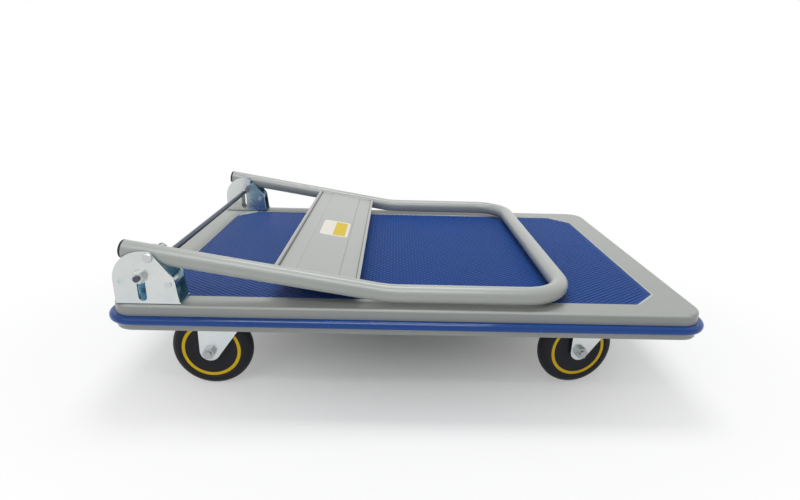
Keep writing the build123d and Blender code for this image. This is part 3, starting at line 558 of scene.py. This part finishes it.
# %% One spring
def wound_wire():
    """A wound wire along Z from the origin, with ends that bend to run straight."""
    end_turn = atan2(BEND, COIL)
    sweep = 2 * pi * TURNS - 2 * end_turn
    low = STRAIGHT + BEND
    rise = spring_length - 2 * low
    steps = TURNS * STEPS_A_TURN
    mesh = bmesh.new()
    start = Matrix.Rotation(end_turn, 4, "Z") @ Matrix.Translation((COIL, 0, low))
    facing = start @ Matrix.Rotation(pi / 2, 4, "X")
    bmesh.ops.create_circle(mesh, segments=WIRE_SIDES, radius=WIRE, matrix=facing)
    first = list(mesh.verts) + list(mesh.edges)
    coil = bmesh.ops.spin(
        mesh, geom=first, cent=(0, 0, 0), axis=(0, 0, 1), dvec=(0, 0, rise / steps), angle=sweep, steps=steps,
    )
    ends = (
        (coil["geom_last"], end_turn + sweep, low + rise, 1),
        (first, end_turn, low, -1),
    )
    for ring, turn, level, way in ends:
        outward = Vector((cos(turn), sin(turn), 0))
        centre = outward * COIL + Vector((0, 0, level + way * BEND))
        bent = bmesh.ops.spin(
            mesh, geom=ring, cent=centre, axis=outward, dvec=(0, 0, 0), angle=pi / 2, steps=BEND_STEPS,
        )
        bend_end = [item for item in bent["geom_last"] if isinstance(item, bmesh.types.BMEdge)]
        _, tip = pulled(mesh, bend_end, (0, 0, way * STRAIGHT))
        bmesh.ops.contextual_create(mesh, geom=tip)
    return mesh


def spring(side, name):
    """A spring from the pivot to the rod on one side."""
    mesh = wound_wire()
    down = spring_line.normalized()
    out = Vector((0, side, 0))
    turned = Matrix((out, down.cross(out), down)).transposed().to_4x4()
    beside = Vector((0, side * SPRING_SIDE, 0))
    origin = PIVOT + beside + down * (PIN_RADIUS + END_GAP)
    bmesh.ops.transform(mesh, matrix=Matrix.Translation(origin) @ turned, verts=mesh.verts)
    made = piece(name, mesh, fitting)
    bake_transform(made)
    return made


for side, word in ((-1, "right"), (1, "left")):
    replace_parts(spring(side, "hinge_spring_" + word), "lock_spring_" + word)

# %% [markdown]
# ## The embossed mat
# The mat is pressed all over with small lozenges, so that goods don't slide. A square grid that is turned
# by an eighth of a turn and stretched gives the lozenges. Planes trim it to the mat's outline with its
# cut corners, an inset lifts the crown of each whole cell, and the rim grows down to the recess.

# %% Trimmed grid
LOZENGE = Vector((0.0112, 0.0080))
SPARE_CELLS = 4
cells = 2 * round(mat_high.x / LOZENGE.x + mat_high.y / LOZENGE.y) + SPARE_CELLS
groove_level = mat_high.z - RELIEF
mesh = bmesh.new()
bmesh.ops.create_grid(mesh, x_segments=cells, y_segments=cells, size=cells / 2)
stretch = Matrix.Diagonal((LOZENGE.x / 2 ** 0.5, LOZENGE.y / 2 ** 0.5, 1, 1))
placed = Matrix.Translation((0, 0, groove_level)) @ stretch @ Matrix.Rotation(pi / 4, 4, "Z")
bmesh.ops.transform(mesh, matrix=placed, verts=mesh.verts)
sides = [(Vector((sign, 0, 0)), mat_high.x) for sign in (-1, 1)]
sides += [(Vector((0, sign, 0)), mat_high.y) for sign in (-1, 1)]
corner = (mat_high.x + mat_high.y - CORNER_CUT) / 2 ** 0.5
sides += [(Vector((a, b, 0)).normalized(), corner) for a in (-1, 1) for b in (-1, 1)]
for normal, distance in sides:
    bmesh.ops.bisect_plane(
        mesh, geom=mesh.verts[:] + mesh.edges[:] + mesh.faces[:], plane_co=normal * distance,
        plane_no=normal, dist=1e-6, clear_outer=True,
    )
print("cells in the outline:", len(mesh.faces))

# %% Lozenges and rim
GROOVE = 0.0010
WHOLE_SHARE = 0.9
whole = WHOLE_SHARE * LOZENGE.x * LOZENGE.y / 2
crowns = [face for face in mesh.faces if face.calc_area() > whole]
bmesh.ops.inset_individual(mesh, faces=crowns, thickness=GROOVE, depth=RELIEF, use_even_offset=True)
outline = [edge for edge in mesh.edges if edge.is_boundary]
_, foot = pulled(mesh, outline, (0, 0, mat_low.z - groove_level))
bmesh.ops.contextual_create(mesh, geom=foot)
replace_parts(piece("lozenge_mat", mesh, mat, "deck", soft_edges=False), "deck_mat")
print("lozenges:", len(crowns))

# %% [markdown]
# ## The blank sticker
# A small sticker lies on the middle of the panel. It stays blank: a white field with a yellow block. It
# is a square that is stretched, has its corners cut round, and gets a hair of thickness. The panel slopes
# like the lower tubes, so the sticker is made flat and turned by that slope about the pivot.

# %% Sticker paper
STICKER_PLACE = (0.2312, -0.019, 0.0073)
PAPER_WHITE = (0.74, 0.71, 0.64, 1.0)
BLOCK_YELLOW = (0.64, 0.47, 0.02, 1.0)
BLOCK_LENGTH = 0.0205
BLOCK_HALF_WIDTH = 0.040
BLOCK_BLUR = 0.001
paper = Finish("sticker_paper", Specular_IOR_Level=0.2)
sticker_x, sticker_y, _ = paper.axes(paper.place())
block_start = PIVOT.x + cos(SLOPE) * STICKER_PLACE[0]
block_end = block_start + BLOCK_LENGTH
aside = (sticker_y - STICKER_PLACE[1]).math("ABSOLUTE")
block = paper.smooth(sticker_x, block_start - BLOCK_BLUR, block_start)
block = block * (1 - paper.smooth(sticker_x, block_end, block_end + BLOCK_BLUR))
block = block * (1 - paper.smooth(aside, BLOCK_HALF_WIDTH, BLOCK_HALF_WIDTH + BLOCK_BLUR))
fibre = paper.noise(160.0, 4.0)
paper.feed("Base Color", paper.mix(block, PAPER_WHITE, BLOCK_YELLOW))
paper.feed("Roughness", 0.34 + 0.2 * fibre)
paper.bump(fibre, 0.00003)
print("finish:", paper.material.name)

# %% Sticker
STICKER_SIZE = (0.050, 0.092, 1)
STICKER_CORNER = 0.007
STICKER_THICKNESS = 0.00015
panel_frame = Matrix.Translation(PIVOT) @ Matrix.Rotation(SLOPE, 4, "Y")
mesh = bmesh.new()
bmesh.ops.create_grid(mesh, x_segments=1, y_segments=1, size=0.5)
bmesh.ops.scale(mesh, vec=STICKER_SIZE, verts=mesh.verts)
bmesh.ops.bevel(
    mesh, geom=mesh.verts[:], offset=STICKER_CORNER, offset_type="OFFSET", segments=4, profile=0.5,
    affect="VERTICES", material=-1,
)
lifted = bmesh.ops.extrude_face_region(mesh, geom=mesh.faces[:])
top = [item for item in lifted["geom"] if isinstance(item, bmesh.types.BMVert)]
bmesh.ops.translate(mesh, verts=top, vec=(0, 0, STICKER_THICKNESS))
bmesh.ops.transform(mesh, matrix=panel_frame @ Matrix.Translation(STICKER_PLACE), verts=mesh.verts)
piece("blank_sticker", mesh, paper, "handle", soft_edges=False)

# %% [markdown]
# ## Weld beads
# The panel is welded to the tubes in short runs. A run of weld is a row of overlapping drops: a ring is
# pulled along, and it swells and shrinks at each drop. The beads are painted over with the same enamel.

# %% One weld bead
BEAD_RADIUS = 0.0021
BEAD_LENGTH = 0.026
BEAD_SIDES = 10
DROPS = 8
STEPS_A_DROP = 4
DROP_NECK = 0.82
DROP_SWELL = 0.18
LAST_RING = 0.55


def bead(mesh, start):
    """One run of weld along X from a point, as a rippled rod with closed ends."""
    made = bmesh.ops.create_circle(
        mesh, cap_ends=True, segments=BEAD_SIDES, radius=BEAD_RADIUS,
        matrix=Matrix.Translation(start) @ Matrix.Rotation(pi / 2, 4, "Y"),
    )
    ring = made["verts"]
    edges = list({edge for vert in ring for edge in vert.link_edges})
    steps = DROPS * STEPS_A_DROP
    size = 1.0
    for step in range(1, steps + 1):
        ring, edges = pulled(mesh, edges, (BEAD_LENGTH / steps, 0, 0))
        phase = step % STEPS_A_DROP / STEPS_A_DROP
        target = DROP_NECK + DROP_SWELL * sin(pi * phase) if step < steps else LAST_RING
        middle = Matrix.Translation(-Vector(start) - Vector((BEAD_LENGTH * step / steps, 0, 0)))
        bmesh.ops.scale(mesh, vec=(1, target / size, target / size), verts=ring, space=middle)
        size = target
    bmesh.ops.contextual_create(mesh, geom=edges)


# %% All weld beads
WELD_STARTS = (0.172, 0.2155, 0.259)
WELD_SIDE = 0.2483
WELD_LEVEL = 0.0052
mesh = bmesh.new()
for side in (-1, 1):
    for along_panel in WELD_STARTS:
        bead(mesh, (along_panel, side * WELD_SIDE, WELD_LEVEL))
bmesh.ops.transform(mesh, matrix=panel_frame, verts=mesh.verts)
piece("panel_welds", mesh, tube_paint, "handle")

# %% [markdown]
# ## Studio
# The photograph has a white ground with only a soft shade under the cart. A wide pale floor carries that
# shade. Away from the cart it fades to plain white, but only for rays from the camera or from a
# reflection, so that no more light falls on the cart. The world does the same. Large soft lamps stand
# above and in front, at a level where colours come out about as they are written. One of them, a window,
# shows only as a reflection: it gives tube and strip their bright lines.

# %% Floor
FLOOR_RADIUS = 9.0
FADE_RADIUS = 0.62
FADE_STRETCH = 0.45
FADE_NEARER = 0.05
WHITE = (1, 1, 1, 1)
SEEING_RAYS = ("Is Camera Ray", "Is Glossy Ray", "Is Transmission Ray")
ground = Finish("pale_floor", Roughness=0.9, Specular_IOR_Level=0.1)
grain = ground.noise(3.0, 2.0)
ground.feed("Base Color", ground.mix(grain, shade(WHITE, 0.94), shade(WHITE, 0.96)))
floor_x, floor_y, _ = ground.axes(ground.place())
nearer_y = floor_y + FADE_NEARER
radius = (floor_x * floor_x * FADE_STRETCH + nearer_y * nearer_y) ** 0.5
camera_ray, glossy_ray, clear_ray = [ground.node("LightPath", output=word) for word in SEEING_RAYS]
fade = ground.smooth(radius, 0.0, FADE_RADIUS) * (camera_ray + glossy_ray + clear_ray)
glow = ground.node("Emission", {}, {"Color": WHITE, "Strength": 1.0})
surface = Value(ground, ground.shader.outputs["BSDF"])
blended = ground.node("MixShader", {}, {0: fade, 1: surface, 2: glow})
ground.tree.links.new(blended.socket, ground.tree.nodes["Material Output"].inputs["Surface"])

mesh = bmesh.new()
bmesh.ops.create_circle(mesh, cap_ends=True, segments=96, radius=FLOOR_RADIUS)
data = bpy.data.meshes.new("studio_floor")
mesh.to_mesh(data)
mesh.free()
floor = bpy.data.objects.new("studio_floor", data)
data.materials.append(ground.material)
scene.collection.objects.link(floor)
print("floor radius", FLOOR_RADIUS, "m")

# %% World
SOFT_COLOUR = (0.95, 0.97, 1.0, 1)
SOFT_STRENGTH = 0.40
world = bpy.data.worlds.new("studio_world")
scene.world = world
world.use_nodes = True
tree = world.node_tree
tree.nodes.clear()
path = tree.nodes.new("ShaderNodeLightPath")
seen = path.outputs[SEEING_RAYS[0]]
for word in SEEING_RAYS[1:]:
    either = tree.nodes.new("ShaderNodeMath")
    either.operation = "MAXIMUM"
    tree.links.new(seen, either.inputs[0])
    tree.links.new(path.outputs[word], either.inputs[1])
    seen = either.outputs[0]
soft = tree.nodes.new("ShaderNodeBackground")
soft.inputs["Color"].default_value = SOFT_COLOUR
soft.inputs["Strength"].default_value = SOFT_STRENGTH
plain = tree.nodes.new("ShaderNodeBackground")
plain.inputs["Color"].default_value = WHITE
plain.inputs["Strength"].default_value = 1.0
blend = tree.nodes.new("ShaderNodeMixShader")
tree.links.new(seen, blend.inputs[0])
tree.links.new(soft.outputs[0], blend.inputs[1])
tree.links.new(plain.outputs[0], blend.inputs[2])
output = tree.nodes.new("ShaderNodeOutputWorld")
tree.links.new(blend.outputs[0], output.inputs["Surface"])
print("world strength", SOFT_STRENGTH)


# %% Lamps
def lamp(name, place, target, size, power, diffuse=True):
    """A soft oblong lamp that looks at a point. Without diffuse light it shows only as a reflection."""
    data = bpy.data.lights.new(name, "AREA")
    data.shape = "RECTANGLE"
    data.size, data.size_y = size
    data.energy = power
    made = bpy.data.objects.new(name, data)
    made.location = place
    made.rotation_euler = (Vector(target) - Vector(place)).to_track_quat("-Z", "Y").to_euler()
    made.visible_diffuse = diffuse
    scene.collection.objects.link(made)
    print("lamp:", name, power, "W")


MIDDLE = (0, 0, 0.1)
LEFT_PART = (-0.1, 0, 0.12)
RIGHT_PART = (0.1, 0, 0.12)
NEAR_EDGE = (-0.1, -0.28, 0.13)
lamp("overhead", (0.05, 0.5, 2.3), MIDDLE, size=(1.1, 0.7), power=28)
lamp("front_left", (-1.6, -1.9, 1.3), LEFT_PART, size=(1.4, 1.2), power=7.5)
lamp("front_strip", (-0.28, -1.3, 1.9), NEAR_EDGE, size=(1.5, 0.16), power=4.5)
lamp("window", (-0.20, -1.25, 1.85), NEAR_EDGE, size=(1.4, 1.15), power=28, diffuse=False)
lamp("right", (2.0, -0.6, 1.2), RIGHT_PART, size=(1.2, 1.2), power=2)

# %% [markdown]
# ## Camera
# The camera stands where the photograph was taken from. Its place, its three angles and its focal length
# were found by matching edges of the deck, the brackets and the wheels to the photograph, which is 800 by
# 500 pixels.

# %% Camera
FOCAL_PIXELS = 518.7
IMAGE_WIDTH = 800
SENSOR_WIDTH = 36.0
CAMERA_PLACE = (-0.0291, -0.9507, 0.4787)
YAW = 0.0184
PITCH = 0.3314
ROLL = 0.0275
ahead = Vector((sin(YAW) * cos(PITCH), cos(YAW) * cos(PITCH), -sin(PITCH)))
level_right = Vector((cos(YAW), -sin(YAW), 0))
level_up = level_right.cross(ahead)
right = cos(ROLL) * level_right + sin(ROLL) * level_up
up = cos(ROLL) * level_up - sin(ROLL) * level_right
lens = bpy.data.cameras.new("photo_camera")
lens.sensor_fit = "HORIZONTAL"
lens.sensor_width = SENSOR_WIDTH
lens.lens = FOCAL_PIXELS / IMAGE_WIDTH * SENSOR_WIDTH
lens.clip_start = 0.01
camera = bpy.data.objects.new("photo_camera", lens)
facing = Matrix((right, up, -ahead)).transposed().to_4x4()
camera.matrix_world = Matrix.Translation(CAMERA_PLACE) @ facing
scene.collection.objects.link(camera)
scene.camera = camera
scene.view_settings.view_transform = "Standard"
print("lens", round(lens.lens, 2), "mm")
